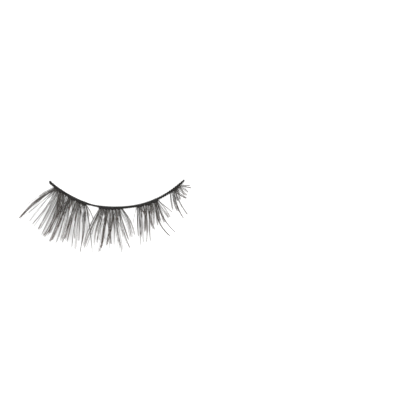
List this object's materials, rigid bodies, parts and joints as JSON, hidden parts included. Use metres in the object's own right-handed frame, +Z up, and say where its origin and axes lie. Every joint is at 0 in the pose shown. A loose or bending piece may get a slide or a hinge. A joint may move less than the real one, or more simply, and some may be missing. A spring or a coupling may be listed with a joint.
{
  "type": "false eyelash strip",
  "caption": "Curved thread band with fans of tapered, upward-curling lashes knotted to its outer side, glued along the upper eyelid.",
  "frame": {"origin": "middle of the whole strip seen from above, on the surface that it lies on", "axes": "+X from the outer corner of the eye towards the inner corner, +Y from the lash tips towards the inside of the band's curve, +Z up from the surface"},
  "size_m": [0.0396, 0.0164, 0.0045],
  "materials": {
    "band_thread": "black cotton thread, waxed and slightly shiny",
    "lash_fibre": "black synthetic fibre with a soft silky shine"
  },
  "bodies": {
    "root": {"band": "band_thread", "outer_fan": "lash_fibre", "centre_fan": "lash_fibre", "inner_fan": "lash_fibre", "corner_fan": "lash_fibre"}
  },
  "joints": []
}
